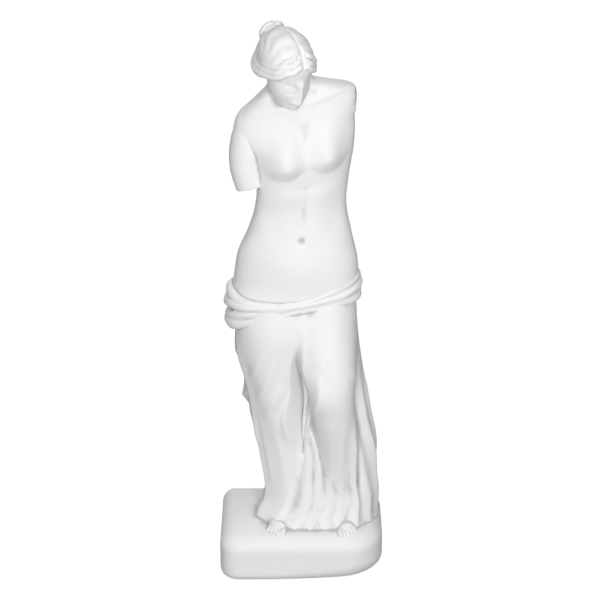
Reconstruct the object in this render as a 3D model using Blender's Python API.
"""A half-draped goddess with lost arms, cast in plaster in one piece with its rounded base.

Blender 4.5, metres, +Z up. The figure faces -Y and stands on the base's top face. The underside of
the base is the plane z = 0, and the origin is its centre.

Each mass of the figure is a closed mesh worked out from a short table or a curve: the trunk, the
upper arm that is left, the head, the hair, the cloth round the legs, the rolled edge at the hips, the
feet and the base. They overlap, and a Remesh modifier melts them into one body, as the mould of such
a cast does.
"""

import math

import bmesh
import bpy
import numpy as np

# Sizes of the whole cast, in metres.
STATUE_HEIGHT = 0.2970
BASE_HEIGHT = 0.026
BASE_WIDTH = 0.086
BASE_DEPTH = 0.060

# Corner radii of the base in plan, and how round its upper edge and its foot are. The foot is
# rounded most at the front right corner.
CORNER_FRONT_LEFT = 0.010
CORNER_FRONT_RIGHT = 0.020
CORNER_BACK_RIGHT = 0.012
CORNER_BACK_LEFT = 0.006
BASE_TOP_ROUND = 0.0080
BASE_FOOT_ROUND = 0.0050
BASE_FOOT_ROUND_FRONT_RIGHT = 0.0150

# The figure is drawn 271 units tall, from its soles at 0 to its crown. All free forms below are in
# these units, so the figure keeps its proportions at any height.
DRAWN_HEIGHT = 271.0
UNIT = (STATUE_HEIGHT - BASE_HEIGHT) / DRAWN_HEIGHT

# How finely the masses are drawn and melted together, in drawn units.
STEP = 1.3
MELT_VOXEL = 0.85
SOFTENING_PASSES = 3
KEPT_TRIANGLES = 0.045

# The trunk's sections from the hips to inside the head: height, centre sideways and front to back,
# half widths towards -X and +X, depth in front and behind, side tilt and turn in degrees. The hips
# tilt down to +X and the shoulders tilt up to it, which gives the stance its slow curve.
TRUNK = np.array([
    (96, -2.0, 1.0, 24.0, 24.0, 3.0, 12.0, -6, -5),
    (112, -3.0, 1.0, 29.0, 29.0, 12.0, 18.0, -6, -5),
    (126, -3.2, 1.0, 32.0, 31.2, 17.0, 19.0, -6, -4),
    (138, -2.2, 1.0, 32.0, 31.0, 16.6, 15.6, -5, -3),
    (150, -1.2, 1.0, 31.0, 29.6, 15.8, 13.0, -4, -1),
    (164, -0.4, 1.0, 26.6, 25.4, 14.2, 12.0, -1, 2),
    (178, 0.0, 1.0, 23.4, 22.4, 13.2, 12.6, 3, 5),
    (190, 0.4, 1.0, 23.0, 23.4, 13.8, 14.2, 8, 8),
    (202, 0.4, 1.0, 23.4, 25.8, 14.2, 15.4, 11, 9),
    (210, -0.2, 1.2, 25.6, 27.4, 13.6, 15.8, 12, 9),
    (217, -0.8, 1.4, 29.2, 28.2, 12.6, 15.2, 14, 9),
    (223, -1.8, 1.6, 31.4, 31.0, 11.6, 14.2, 15, 8),
    (229, -2.8, 1.8, 30.4, 31.4, 10.8, 12.8, 15, 7),
    (234, -3.6, 1.8, 25.6, 27.6, 9.8, 11.6, 13, 6),
    (238, -4.2, 1.2, 18.8, 19.0, 8.8, 10.6, 12, 5),
    (241.5, -4.8, 0.6, 13.0, 11.8, 8.0, 9.8, 10, 5),
    (246, -5.4, -0.2, 10.0, 9.3, 7.6, 9.0, 7, 7),
    (251, -6.4, -1.4, 8.6, 8.6, 7.4, 8.6, 2, 9),
    (257, -7.2, -2.4, 7.6, 7.6, 6.8, 8.0, -2, 10),
])

# Where the limbs are broken off: a point on each broken face and the way it faces.
ARM_BREAK = ((-28.0, 0.0, 187.0), (0.22, -0.12, -1.0))
SHOULDER_BREAK = ((26.4, 0.0, 228.0), (0.99, -0.12, 0.06))

# The cloth's sections from inside the base to under the rolled edge: height, centre sideways, half
# width, depth in front and behind.
CLOTH = np.array([
    (-6, 8.0, 31.5, 18.5, 19.0),
    (4, 8.5, 31.0, 18.5, 19.0),
    (14, 11.0, 29.4, 17.0, 17.5),
    (28, 10.4, 28.8, 14.5, 15.5),
    (44, 8.4, 30.0, 13.5, 14.5),
    (60, 4.7, 30.7, 13.5, 15.0),
    (80, 2.6, 29.8, 15.0, 16.5),
    (96, -1.1, 32.6, 18.6, 18.5),
    (112, -2.6, 32.4, 20.8, 20.5),
    (130, -3.4, 32.0, 16.8, 19.0),
])

# The legs that press against the cloth from inside: height, centre sideways, centre front to back
# and radius. The free leg is bent, with its knee forward at a height of 82.
FREE_LEG = np.array([
    (-6, 22.0, -5.0, 8.5),
    (20, 21.0, -6.0, 9.0),
    (45, 19.0, -10.0, 10.5),
    (66, 17.0, -15.5, 11.5),
    (82, 15.5, -17.2, 12.7),
    (100, 13.5, -11.0, 15.5),
    (130, 11.0, -1.2, 15.2),
])
STANDING_LEG = np.array([
    (-6, -8.0, -2.0, 11.0),
    (20, -7.5, -2.0, 11.0),
    (45, -10.0, -2.5, 12.0),
    (82, -14.0, -4.0, 14.0),
    (110, -15.0, -2.0, 17.5),
    (130, -15.0, 0.0, 17.0),
])


def smooth_table(heights, table):
    """Reads the columns of a table at these heights, along a smooth curve through its rows."""
    stations, columns = table[:, 0], table[:, 1:]
    slopes = np.gradient(columns, stations, axis=0)
    low = np.clip(np.searchsorted(stations, heights) - 1, 0, len(stations) - 2)
    gap = (stations[low + 1] - stations[low])[:, None]
    t = ((heights - stations[low]) / gap[:, 0])[:, None]
    rise = columns[low + 1] - columns[low]
    return (
        columns[low]
        + rise * t * t * (3 - 2 * t)
        + slopes[low] * gap * t * (1 - t) ** 2
        - slopes[low + 1] * gap * t * t * (1 - t)
    ).T


def smooth_line(corners, count):
    """Points along a smooth curve through a few corners."""
    corners = np.array(corners, float)
    stations = np.arange(len(corners), dtype=float)[:, None]
    where = np.linspace(0, len(corners) - 1, count)
    return smooth_table(where, np.hstack([stations, corners])).T


def bump(across, up, wide, tall):
    """A soft round rise of height 1."""
    return np.exp(-((across / wide) ** 2) - (up / tall) ** 2)


def turned(points, side_tilt, bow, turn):
    """Turns points about the origin: a tilt to the side, then a bow forwards, then a turn about Z."""
    roll, nod, yaw = (math.radians(a) for a in (side_tilt, bow, turn))
    tilt = np.array([[math.cos(roll), 0, -math.sin(roll)], [0, 1, 0], [math.sin(roll), 0, math.cos(roll)]])
    dip = np.array([[1, 0, 0], [0, math.cos(nod), -math.sin(nod)], [0, math.sin(nod), math.cos(nod)]])
    spin = np.array([[math.cos(yaw), -math.sin(yaw), 0], [math.sin(yaw), math.cos(yaw), 0], [0, 0, 1]])
    return points @ (spin @ tilt @ dip).T


def lofted(rings):
    """A closed mesh through rings of points, capped at both ends by a fan round its middle."""
    count, around = rings.shape[:2]
    points = np.vstack([rings.reshape(-1, 3), rings[0].mean(0), rings[-1].mean(0)])
    row, step = np.meshgrid(np.arange(count - 1), np.arange(around), indexing="ij")
    a, b = row * around + step, row * around + (step + 1) % around
    sides = np.stack([a, b, b + around, a + around], -1).reshape(-1, 4)
    start, end = np.arange(around), np.arange(around) + (count - 1) * around
    first, last = len(points) - 2, len(points) - 1
    caps = [(first, (i + 1) % around, i) for i in start]
    caps += [(last, i, (count - 1) * around + (i + 1 - end[0]) % around) for i in end]
    return points, [tuple(f) for f in sides] + caps


def rounded(centre, radii, turn=(0, 0, 0)):
    """An ellipsoid as a loft from its lowest to its highest point."""
    rows = max(8, int(2.6 * max(radii) / STEP))
    lift = np.linspace(-math.pi / 2, math.pi / 2, rows + 1)[1:-1, None]
    spin = np.linspace(0, 2 * math.pi, 2 * rows, endpoint=False)[None, :]
    ball = np.stack([np.cos(lift) * np.cos(spin), np.cos(lift) * np.sin(spin), np.sin(lift) + 0 * spin], -1)
    return lofted(turned(ball * np.array(radii, float), *turn) + np.array(centre, float))


def tube(corners, radii):
    """A round-ended strand along a smooth curve through its corners."""
    corners = np.array(corners, float)
    reach = np.linalg.norm(np.diff(corners, axis=0), axis=1).sum()
    count = max(9, int(reach / STEP))
    line = smooth_line(np.column_stack([corners, np.array(radii, float)]), count)
    centres, thickness = line[:, :3], line[:, 3:]
    along = np.linspace(0, 1, count)[:, None] * reach
    ease = np.clip(np.minimum(along, reach - along) / thickness, 0.02, 1)
    thickness = thickness * np.sqrt(1 - (1 - ease) ** 2)
    way = np.gradient(centres, axis=0)
    way /= np.linalg.norm(way, axis=1, keepdims=True)
    upright = np.abs(way[:, 1]).max() <= np.abs(way[:, 2]).max()
    aim = np.array([0.0, -1.0, 0.0]) if upright else np.array([0.0, 0.0, 1.0])
    front = aim - way * (way @ aim)[:, None]
    front /= np.linalg.norm(front, axis=1, keepdims=True)
    side = np.cross(front, way)
    spin = np.linspace(0, 2 * math.pi, max(8, int(6 * max(radii) / STEP)), endpoint=False)[None, :, None]
    ring = np.cos(spin) * side[:, None] + np.sin(spin) * front[:, None]
    return lofted(centres[:, None] + ring * thickness[:, None])


def cut_flat(mass, point, facing):
    """Presses what stands past a plane back onto it, which leaves the flat face of a break."""
    points, faces = mass
    facing = np.array(facing, float) / np.linalg.norm(facing)
    past = np.maximum((points - np.array(point, float)) @ facing, 0)
    return points - past[:, None] * facing, faces


def breast(across, up):
    """A soft full form: a blunted bell curve, shorter below its middle, with a faint fold under it."""
    tall = np.where(up > 0, 12.5, 6.6)
    ring = (across / 7.8) ** 2 + (up / tall) ** 2
    fold = 0.4 * np.exp(-(((np.sqrt(ring) - 1.3) / 0.24) ** 2)) * np.clip(-up / 5, 0, 1)
    return 5.2 * np.exp(-(ring**1.1)) - fold


def trunk():
    """Hips, waist, chest, shoulders and neck, with the forms of the body pressed into the surface."""
    heights = np.arange(TRUNK[0, 0], TRUNK[-1, 0] + STEP / 2, STEP)
    sideways, back, left_wide, right_wide, front_deep, back_deep, tilt, turn = (
        c[:, None] for c in smooth_table(heights, TRUNK)
    )
    heights = heights[:, None]
    spin = np.linspace(0, 2 * math.pi, int(170 / STEP), endpoint=False)[None, :]
    facing = -np.cos(spin)
    squared = (np.abs(np.sin(spin)) ** 2.3 + np.abs(facing) ** 2.3) ** (-1 / 2.3)
    x = np.where(np.sin(spin) < 0, left_wide, right_wide) * squared * np.sin(spin)
    y = np.where(facing < 0, front_deep, back_deep) * squared * facing
    in_front = np.clip(-facing * 1.6, 0, 1)
    behind = np.clip(facing * 1.6, 0, 1)
    shoulder = np.clip((heights - 224) / 8, 0, 1)
    collar_bone = np.exp(-(((heights - 231.5 - 0.10 * np.abs(x)) / 2.2) ** 2))
    front = (
        breast(x + 10.6, heights - 205.0)
        + breast(x - 11.0, heights - 205.0)
        + 1.6 * bump(x, heights - 149, 15, 12)
        - 0.4 * bump(x, heights - 176, 3.4, 22)
        - 1.5 * bump(x, heights - 163, 1.6, 1.9)
        - 0.35 * bump(x, heights - 214, 4.0, 13)
        - 0.6 * bump(np.abs(x) - 15, heights - 172, 5, 9)
        + 0.6 * bump(np.abs(x) - 9, heights - 187, 6, 4)
        + 0.9 * collar_bone * np.clip(np.abs(x) / 7, 0, 1)
        - 1.2 * bump(x, heights - 232, 2.4, 3.0)
        - 0.7 * bump(np.abs(x) - 10, heights - 237, 4, 2.6) * shoulder
    )
    up_the_spine = np.clip((heights - 118) / 12, 0, 1) * np.clip((236 - heights) / 14, 0, 1)
    rear = (
        -1.5 * np.exp(-((x / 2.6) ** 2)) * up_the_spine
        + 1.5 * bump(np.abs(x) - 11, heights - 212, 6, 9)
        - 0.9 * bump(np.abs(x) - 5, heights - 139, 2.2, 3.0)
        + 1.0 * bump(np.abs(x) - 6, heights - 165, 4, 18)
    )
    y = y - front * in_front + rear * behind
    yaw, roll = np.radians(turn), np.radians(tilt)
    across = x * np.cos(yaw) - y * np.sin(yaw)
    depth = x * np.sin(yaw) + y * np.cos(yaw)
    rings = np.stack(
        [sideways + across * np.cos(roll), back + depth, heights + across * np.sin(roll)], -1
    )
    return cut_flat(lofted(rings), *SHOULDER_BREAK)


def upper_arm():
    """The upper arm that is left, and the round of its shoulder, both ending at the break."""
    arm = tube(
        [(-23.6, 0.4, 223), (-26.2, -0.6, 211), (-27.2, -1.6, 199), (-25.2, -2.6, 186), (-23.6, -3.2, 176)],
        (7.8, 9.0, 8.4, 6.8, 5.6),
    )
    shoulder = rounded((-22.6, 0.3, 213.6), (11.2, 9.9, 17.6), (4, 0, 0))
    return [cut_flat(mass, *ARM_BREAK) for mass in (arm, shoulder)]


# The head is drawn about its own middle, facing -Y, 36 units from chin to crown, then made this
# much larger, bowed, turned and set on the neck.
HEAD_PLACE = (-7.6, -4.4, 248.7)
HEAD_SHARE = 1.07
HEAD_TILT, HEAD_BOW, HEAD_TURN = 0, 27, 34


def on_neck(masses):
    """Bows and turns the drawn head, and sets it on the neck."""
    return [
        (turned(points * HEAD_SHARE, -HEAD_TILT, HEAD_BOW, HEAD_TURN) + np.array(HEAD_PLACE), faces)
        for points, faces in masses
    ]


def face_relief(x, z):
    """How far the features stand out of the oval of the face at x to the side and z up: bell curves
    for the soft forms, with rounded lids, a ridge for the nose and a groove between the lips."""
    side = np.abs(x)
    bridge = np.interp(z, [-8.4, -7.2, -6.0, 2.6, 8.0], [0, 2.0, 3.3, 1.5, 0])
    nose = bridge * np.exp(-((side / np.interp(z, [-7, -4, 4], [1.9, 1.45, 1.9])) ** 2))
    wings = 1.1 * bump(side - 1.9, z + 6.5, 1.0, 1.2)
    brow_line = 3.3 + 0.6 * np.sin(np.clip((side - 1) / 8, 0, 1) * math.pi)
    brows = 0.45 * np.exp(-(((z - brow_line) / 1.8) ** 2)) * np.clip((10 - side) / 3, 0, 1)
    sockets = -1.7 * bump(side - 4.2, z - 0.6, 2.6, 2.0)
    along_eye = (side - 4.5) / 2.6
    eye_middle = 0.2 - 0.10 * (side - 4.5)
    opening = np.clip(1 - along_eye**2, 0, 1)
    ball = 1.05 * np.sqrt(np.clip(1 - along_eye**2 - ((z - eye_middle) / 1.7) ** 2, 0, 1))
    upper_lid = 0.38 * np.exp(-(((z - eye_middle - 0.85 * np.sqrt(opening)) / 0.42) ** 2)) * opening
    lower_lid = 0.22 * np.exp(-(((z - eye_middle + 0.75 * np.sqrt(opening)) / 0.36) ** 2)) * opening
    cheeks = 0.6 * bump(side - 5.6, z + 3.8, 3.0, 2.8)
    muzzle = 1.0 * bump(x, z + 10.2, 4.0, 3.4)
    upper_lip = 0.8 * bump(side - 0.9, z + 9.5, 1.9, 0.75)
    lower_lip = 1.0 * bump(x, z + 11.4, 2.0, 0.85)
    parting = -0.7 * np.exp(-(((z + 10.4) / 0.42) ** 2) - (side / 2.9) ** 4)
    under_lip = -0.7 * bump(x, z + 13.2, 2.6, 0.9)
    chin = 1.0 * bump(x, z + 15.4, 2.8, 2.0)
    return (
        nose + wings + brows + sockets + ball + upper_lid + lower_lid + cheeks
        + muzzle + upper_lip + lower_lip + parting + under_lip + chin
    )


def head():
    """Skull, face and jaw. The face is an oval that tapers to the chin, with the features on it."""
    skull = rounded((0, 2.2, 5.0), (11.4, 14.2, 12.8))
    points, faces = rounded((0, -3.2, -3.6), (9.6, 10.2, 14.2))
    points[:, 0] *= np.interp(points[:, 2], [-17.5, -13, -7, 1], [0.60, 0.70, 0.88, 1.0])
    x, y, z = points.T
    points[:, 1] -= face_relief(x, z) * np.clip(-(y + 3.2) / 4.5, 0, 1)
    jaw = [rounded((side * 3.7, -2.0, -8.4), (3.3, 5.6, 4.8), (side * 16, -10, 0)) for side in (-1, 1)]
    return [skull, (points, faces)] + jaw


# The middle and the half sizes of the cap of hair, about the head's own middle.
CAP_MIDDLE = np.array((0.0, 3.0, 5.6))
CAP_RADII = np.array((12.0, 15.2, 13.2))


def hairline(x):
    """The height at which the hair starts above the face: an arch over the middle of the forehead."""
    return 10.8 - 8.6 * (np.abs(x) / 10.7) ** 2.0


def on_cap(x, z, out):
    """A point on the front of the cap of hair at x and z, this far out from it."""
    depth = math.sqrt(max(1 - (x / CAP_RADII[0]) ** 2 - ((z - CAP_MIDDLE[2]) / CAP_RADII[2]) ** 2, 0.01))
    return (x * (1 + out / 13), CAP_MIDDLE[1] - (CAP_RADII[1] + out) * depth, z)


def hair():
    """The cap, whose waves run round the head from the parting to the ears, with the rolled locks
    along its edge and the coil of the knot."""
    points, faces = rounded((0, 0, 0), CAP_RADII)
    way = points / CAP_RADII
    aside = np.arcsin(np.clip(way[:, 0], -1, 1))
    over = np.arctan2(way[:, 2], -way[:, 1])
    wave = 11 * over + 2.2 * np.abs(aside) + 0.7 * np.sin(7 * np.abs(aside))
    combed = 0.30 * np.cos(wave) - 0.12 * np.abs(np.sin(2.5 * wave)) + 0.06
    parting = -0.5 * np.exp(-((aside / 0.06) ** 2)) * (over < 1.9)
    out = (combed * np.clip(np.abs(aside) / 0.2, 0, 1) + parting) * np.cos(aside)
    points = points * (1 + out[:, None] / 13)
    below = hairline(points[:, 0]) - (points[:, 2] + CAP_MIDDLE[2])
    over_face = np.clip(below / 2.0, 0, 1) * np.clip(-points[:, 1] / 3, 0, 1)
    masses = [(points * (1 - 0.14 * over_face[:, None]) + CAP_MIDDLE, faces)]
    for side in (-1, 1):
        for row in range(3):
            lift = 2.4 * row
            corners = []
            for step in range(7):
                x = side * (0.9 + 9.1 * step / 6)
                up = hairline(x) + 0.6 + lift + 0.35 * math.sin(1.9 * step)
                corners.append(on_cap(x, float(up), 0.1 - 0.2 * row))
            corners += [
                (side * (11.2 - 0.2 * row), 0.6 + 0.3 * row, 0.4 + lift),
                (side * (10.9 - 0.4 * row), 5.0, -2.0 + lift),
                (side * (9.2 - 0.5 * row), 11.0, -3.2 + lift),
                (side * 5.4, 15.6, -1.0 + lift),
                (side * 2.0, 17.6, 3.6 + 0.6 * lift),
            ]
            thick = np.array([1.0, 1.2, 1.4, 1.4, 1.5, 1.6, 1.8, 2.1, 2.4, 2.4, 2.2, 1.8])
            masses.append(tube(corners, thick * (1 - 0.08 * row)))
    wound = np.linspace(0, 1, 33)
    out = 4.5 * (1 - wound**1.6) + 0.3
    swing = 4.4 * math.pi * wound
    coil = np.column_stack([out * np.sin(swing), 17.2 + 3.4 * wound, 8.4 + out * np.cos(swing)])
    return masses + [
        rounded((0, 14.0, 0.8), (4.2, 3.8, 6.4)),
        rounded((0, 16.0, 8.2), (5.6, 4.6, 5.6)),
        tube(coil, 2.1 - 0.5 * wound),
    ]


def reach_of_leg(leg, heights, start_x, spin):
    """How far the leg's round section reaches from the cloth's middle in each direction."""
    x, y, radius = (c[:, None] for c in smooth_table(heights, leg))
    x = x - start_x
    forward = x * np.sin(spin) - y * np.cos(spin)
    aside = np.abs(x * np.cos(spin) + y * np.sin(spin))
    inside = np.sqrt(np.clip(radius**2 - aside**2, 0, None))
    return forward + inside - 1.2 * np.clip(aside - radius, 0, None)


def falling_folds():
    """Folds that fall: points (height, direction in degrees) from the hem up, rise and width.
    Direction 0 is the front, 90 is +X and 180 is the back."""
    folds = []
    for k in range(3):
        # Slack folds down the front of the standing leg.
        foot = -12 - 22 * k
        folds.append((
            [(-6, foot), (20, foot + 3), (46, foot + 8 + 2 * k), (82 + 13 * (k % 2), foot + 4)],
            1.5 + 0.7 * (k % 2),
            3.2 + 0.6 * (k % 2),
        ))
    for k in range(3):
        # Pulls from the front of the waist, down and outwards over the standing thigh.
        lean = -5 * k
        folds.append((
            [
                (62 + 11 * k, lean - 60), (76 + 10 * k, lean - 42),
                (92 + 8 * k, lean - 24), (107 + 5 * k, lean - 9),
            ],
            2.3 - 0.3 * k,
            2.6,
        ))
    for foot, low, mid, (height, top) in (
        (-39, -38, -25, (116, 5)), (-33, -17, -3, (120, 13)), (-30, -8, 12, (102, 22))
    ):
        # Three folds that meet low in the hollow between the legs, and swing apart above it.
        folds.append(([(42, foot), (60, low), (82, mid), (height, top)], 4.2, 2.3))
    for k in range(3):
        # The side of the standing leg.
        foot = -82 - 17 * k
        folds.append(([(-6, foot), (34, foot + 4), (76, foot + 5), (114, foot + 1)], 2.2, 2.5 + 0.3 * k))
    for k in range(2):
        # Faint folds on the shin of the free leg.
        path = [(-6, 12 + 20 * k), (22, 15 + 17 * k), (48, 20 + 14 * k), (74, 26 + 14 * k)]
        folds.append((path, 1.2, 3.2))
    for k in range(6):
        # Long folds that trail from the bent knee and the hip behind it.
        foot, top = 53 + 17 * k, 55 + 14 * k
        folds.append((
            [(-6, foot), (28, foot - 3), (58, top - 4), (74 + 9 * k, top)],
            2.3 + 0.9 * math.sin(2.6 * k + 1),
            2.5 + 0.5 * math.sin(1.9 * k),
        ))
    for k in range(3):
        # Faint pulls across the thigh to the knee.
        path = [(84 - 2 * k, 36 + 14 * k), (97 - k, 27 + 12 * k), (109 - k, 17 + 10 * k), (120, 9 + 7 * k)]
        folds.append((path, 0.8, 2.8))
    for k in range(7):
        # The back, where the cloth falls from the seat.
        top, foot = 148 + 15 * k, 155 + 14 * k
        bend = 8 * math.sin(1.3 * k + 0.6)
        folds.append((
            [(-6, foot), (34, foot + bend / 2), (66, top), (102 - 8 * (k % 3), top + bend)],
            2.3 + 0.9 * math.sin(1.7 * k + 1),
            2.7 + 0.6 * math.sin(2.7 * k),
        ))
    return folds


def slack_folds():
    """Shallow swags behind, from hip to hip: (direction, height) across the back, rise and width."""
    folds = []
    for k in range(3):
        path = [(112, 122 - 5 * k), (150, 114 - 6 * k), (190, 110 - 6.5 * k), (232, 119 - 4 * k)]
        folds.append((path, 1.5 - 0.2 * k, 2.2))
    return folds


def fold_height(away, width):
    """A rounded crest with hollow flanks, as pulled cloth has, of height 1 at its middle."""
    return np.exp(-(np.sqrt(away**2 + 0.6) - 0.775) / width)


# The pleats below the standing hip: direction in degrees, height of top and foot, and swell.
PLEATS = ((262, 118, 88, 1.4), (270, 90, 65, 5.2), (250, 112, 72, 1.5), (276, 66, 42, 1.7))


def stepped_pleats(direction, level):
    """The loose end below the standing hip: pleats that swell downwards and stop one under another,
    each a product of a rise with the fall, a soft stop at its foot and a blunt bell curve across."""
    rise = np.zeros(np.broadcast(direction, level).shape)
    for middle, top, foot, out in PLEATS:
        swell = np.clip((top - level) / (top - foot), 0, 1) ** 1.5
        slant = foot + 0.35 * (direction - middle)
        stop = np.clip((level - slant) / 6.0, 0, 1) ** 1.5
        rise = np.maximum(rise, out * swell * stop * np.exp(-(((direction - middle) / 9) ** 4)))
    return rise


# The line of the deepest hollow between the legs: height, and direction in degrees.
CLEFT = ((42, -35), (60, -28), (82, -15), (110, 3))
MEAN_REACH = 27.0


def beside_line(path, heights, direction):
    """How far each point of the cloth lies from a line that runs up it, square to the line, and a share
    that fades in at the line's foot and out at its top."""
    path, level = np.array(path, float), heights[:, None]
    per_degree = math.radians(MEAN_REACH)
    middle = smooth_table(np.clip(heights, path[0, 0], path[-1, 0]), path)[0][:, None]
    lean = np.gradient(middle[:, 0], heights)[:, None] * per_degree
    away = np.abs((direction - middle + 180) % 360 - 180) * per_degree / np.sqrt(1 + lean**2)
    fade = np.clip((path[-1, 0] - level) / 26, 0, 1) ** 1.3
    return away, fade * np.clip((level - path[0, 0] + 2) / 14, 0, 1)


def cloth():
    """The cloth that wraps the legs from the hips to the base, as one closed surface."""
    heights = np.arange(CLOTH[0, 0], CLOTH[-1, 0] + STEP / 2, STEP)
    start_x, wide, front_deep, back_deep = (c[:, None] for c in smooth_table(heights, CLOTH))
    spin = np.linspace(-math.pi, math.pi, int(200 / STEP), endpoint=False)[None, :]
    level = heights[:, None]
    middle_of_hollow = np.interp(level, [45, 80, 104], [-33, -17, 2])
    hollow = 0.5 * bump(np.degrees(spin) - middle_of_hollow, level - 74, 12, 22)
    deep = np.where(np.cos(spin) > 0, front_deep * (1 - hollow), back_deep)
    wrap = ((np.abs(np.sin(spin)) / wide) ** 2.2 + (np.abs(np.cos(spin)) / deep) ** 2.2) ** (-1 / 2.2)
    soft = 1.3
    reach = soft * np.log(
        np.exp(wrap / soft)
        + np.exp(reach_of_leg(FREE_LEG, heights, start_x, spin) / soft)
        + np.exp(reach_of_leg(STANDING_LEG, heights, start_x, spin) / soft)
    )
    unrolled = np.degrees(spin) % 360
    sharp = 3.0
    crests = np.zeros_like(reach)
    for path, rise, width in falling_folds():
        away, fade = beside_line(path, heights, unrolled)
        crests += (rise * fade * fold_height(away, width)) ** sharp
    for path, rise, width in slack_folds():
        path = np.array(path, float)
        middle = smooth_table(np.clip(unrolled[0], path[0, 0], path[-1, 0]), path)[0][None, :]
        ends = np.clip((unrolled - path[0, 0]) / 14, 0, 1) * np.clip((path[-1, 0] - unrolled) / 14, 0, 1)
        crests += (rise * ends * fold_height(np.abs(level - middle), width)) ** sharp
    away, fade = beside_line(CLEFT, heights, unrolled)
    reach -= 4.6 * fade * np.exp(-((away / 2.4) ** 2))
    hem = 1.4 * np.exp(-np.clip(level - 1, 0, None) / 4)
    reach = reach + crests ** (1 / sharp) - 1.2 + hem + stepped_pleats(unrolled, level)
    rings = np.stack([start_x + reach * np.sin(spin), -reach * np.cos(spin), level + 0 * reach], -1)
    return lofted(rings)


def hip_line(direction, out, up):
    """Points of the rolled edge: an oval round the hips that rises to +X, moved out and up from there."""
    spin = np.radians(direction)
    wide, deep = 32.4 + out, np.where(np.cos(spin) > 0, 18.8, 20.4) + out
    return np.column_stack([
        -3.6 + wide * np.sin(spin), 1.0 - deep * np.cos(spin), 128.0 + 5.6 * np.sin(spin) + up
    ])


# How many turns lie one above another in the rolled edge.
ROLL_TURNS = 4


def rolled_edge():
    """Turns of the roll, laid one above another, which wander and thin out towards the front, where
    their ends pass one another."""
    masses = []
    for turn in range(ROLL_TURNS):
        direction = np.linspace(-24 + 9 * turn, 340 + 13 * turn, 53)
        from_front = np.minimum(np.abs(direction), np.abs(direction - 360))
        near_hip = np.exp(-(((direction - 264) / 48) ** 2))
        near_front = np.exp(-((from_front / 44) ** 2))
        over_thigh = np.exp(-(((direction - 304) / 30) ** 2))
        fullness = 0.86 + 0.44 * near_hip - 0.30 * near_front
        place = turn - (ROLL_TURNS - 1) / 2 + 0.35 * np.sin(2.0 * np.radians(direction) + 1.7 * turn)
        place = place * (1 - 0.25 * near_front)
        out = (1.1 - 0.5 * np.abs(place)) * fullness - 0.9 - 1.2 * near_front + 0.8 * over_thigh
        radii = (2.7 + 0.5 * math.sin(2.9 * turn + 1.0)) * fullness
        masses.append(tube(hip_line(direction, out, 3.9 * fullness * place), radii))
    return masses


def feet():
    """Each foot slopes down from the hem to five toes, the big toe longest and on the inner side."""
    masses = []
    for middle, reach, turn, outwards in ((-12.0, -12.4, -12, -1), (23.0, -13.4, 10, 1)):
        ankle = np.array((middle, reach, 0.0))
        parts = [rounded((0, 0, 0.0), (5.4, 10.2, 3.8), (0, 8, 0))]
        for toe in range(5):
            thick = 1.6 if toe == 0 else 1.3 - 0.08 * toe
            place = ((4.0 - 2.0 * toe) * -outwards, -8.8 + 0.36 * toe**1.5, 0.4)
            parts.append(rounded(place, (thick, 3.6 - 0.25 * toe, 0.95 * thick), (0, 6, 0)))
        masses += [(turned(points, 0, 0, turn) + ankle, faces) for points, faces in parts]
    return masses


def plan_outline():
    """The base's outline seen from above: its points and the way that each one faces."""
    half = np.array((BASE_WIDTH, BASE_DEPTH)) / 2 / UNIT
    corners = (
        (1, -1, CORNER_FRONT_RIGHT), (1, 1, CORNER_BACK_RIGHT),
        (-1, 1, CORNER_BACK_LEFT), (-1, -1, CORNER_FRONT_LEFT),
    )
    points, facings = [], []
    for quarter, (sx, sy, radius) in enumerate(corners):
        radius = radius / UNIT
        spin = np.radians(-90 + 90 * quarter + np.linspace(0, 90, 20))
        facing = np.column_stack([np.cos(spin), np.sin(spin)])
        points.append(np.array((sx, sy)) * (half - radius) + radius * facing)
        facings.append(facing)
    outline, normals = [], []
    for quarter in range(4):
        outline.append(points[quarter])
        normals.append(facings[quarter])
        start, end = points[quarter][-1], points[(quarter + 1) % 4][0]
        along = np.linspace(0, 1, 14)[1:-1, None]
        outline.append(start + (end - start) * along)
        normals.append(np.repeat(facings[quarter][-1:], 12, axis=0))
    return np.vstack(outline), np.vstack(normals)


def rounding(height, radius):
    """How far a rounded edge of this radius draws in at this height above or below the edge."""
    left = np.clip(radius - height, 0, None)
    return radius - np.sqrt(np.clip(radius**2 - left**2, 0, None))


def base():
    """The rounded block under the feet. It runs on below z = 0, where the last cut trims it flat."""
    tall, top = BASE_HEIGHT / UNIT, BASE_TOP_ROUND / UNIT
    outline, facing = plan_outline()
    half = np.array((BASE_WIDTH, BASE_DEPTH)) / 2 / UNIT
    near_corner = np.clip((outline / half) @ np.array((0.5, -0.5)), 0, 1) ** 3
    foot = (BASE_FOOT_ROUND + (BASE_FOOT_ROUND_FRONT_RIGHT - BASE_FOOT_ROUND) * near_corner) / UNIT
    levels = np.concatenate([[-3.0, 0.0], tall * (1 - np.cos(np.linspace(0, math.pi, 25)))[1:] / 2])
    rings = []
    for level in levels:
        inset = rounding(max(level, 0.0), foot) + rounding(tall - level, top)
        ring = outline - facing * inset[:, None]
        rings.append(np.column_stack([ring, np.full(len(outline), level - tall)]))
    return lofted(np.array(rings))


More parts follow.
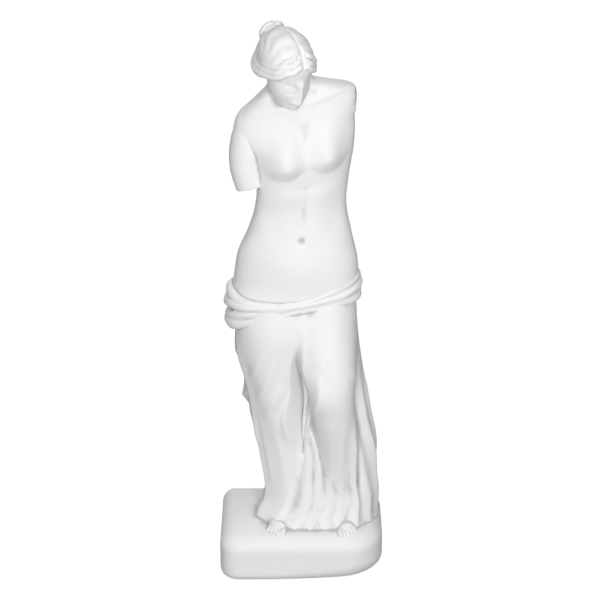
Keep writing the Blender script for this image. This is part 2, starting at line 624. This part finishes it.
def put_together(name, masses):
    """Joins closed masses, which overlap, in one mesh object, at their real size."""
    points, faces, start = [], [], 0
    for mass_points, mass_faces in masses:
        points.append(mass_points)
        faces += [tuple(i + start for i in face) for face in mass_faces]
        start += len(mass_points)
    placed = np.vstack(points) * UNIT + np.array((0, 0, BASE_HEIGHT))
    mesh = bpy.data.meshes.new(name)
    mesh.from_pydata(placed.tolist(), [], faces)
    body = bpy.data.objects.new(name, mesh)
    bpy.context.scene.collection.objects.link(body)
    return body


def floor_cutter():
    """A block below z = 0 that trims the underside flat."""
    mesh = bpy.data.meshes.new("floor_cutter")
    shape = bmesh.new()
    bmesh.ops.create_cube(shape, size=1.0)
    reach = 3 * max(BASE_WIDTH, BASE_DEPTH)
    for vertex in shape.verts:
        vertex.co = (vertex.co.x * reach, vertex.co.y * reach, (vertex.co.z - 0.5) * reach)
    shape.to_mesh(mesh)
    shape.free()
    cutter = bpy.data.objects.new("floor_cutter", mesh)
    cutter.hide_render = True
    cutter.display_type = "WIRE"
    bpy.context.scene.collection.objects.link(cutter)
    return cutter


def plaster():
    """White casting plaster, matt and bare."""
    material = bpy.data.materials.new("plaster")
    material.use_nodes = True
    shader = material.node_tree.nodes["Principled BSDF"]
    shader.inputs["Base Color"].default_value = (0.86, 0.86, 0.85, 1)
    shader.inputs["Roughness"].default_value = 0.75
    shader.inputs["Metallic"].default_value = 0.0
    return material


def melt(body, cutter):
    """Melts the masses into one skin, softens it, keeps fewer triangles and trims the underside."""
    remesh = body.modifiers.new("melt", "REMESH")
    remesh.mode = "VOXEL"
    remesh.voxel_size = MELT_VOXEL * UNIT
    soften = body.modifiers.new("soften", "SMOOTH")
    soften.factor = 0.5
    soften.iterations = SOFTENING_PASSES
    fewer = body.modifiers.new("fewer", "DECIMATE")
    fewer.ratio = KEPT_TRIANGLES
    trim = body.modifiers.new("trim", "BOOLEAN")
    trim.operation = "DIFFERENCE"
    trim.solver = "EXACT"
    trim.object = cutter


def main():
    for old in list(bpy.data.objects):
        bpy.data.objects.remove(old)
    masses = [trunk()] + upper_arm()
    masses += on_neck(head() + hair())
    masses += [cloth()] + rolled_edge()
    masses += feet() + [base()]
    statue = put_together("aphrodite_statue", masses)
    statue.data.materials.append(plaster())
    melt(statue, floor_cutter())


main()
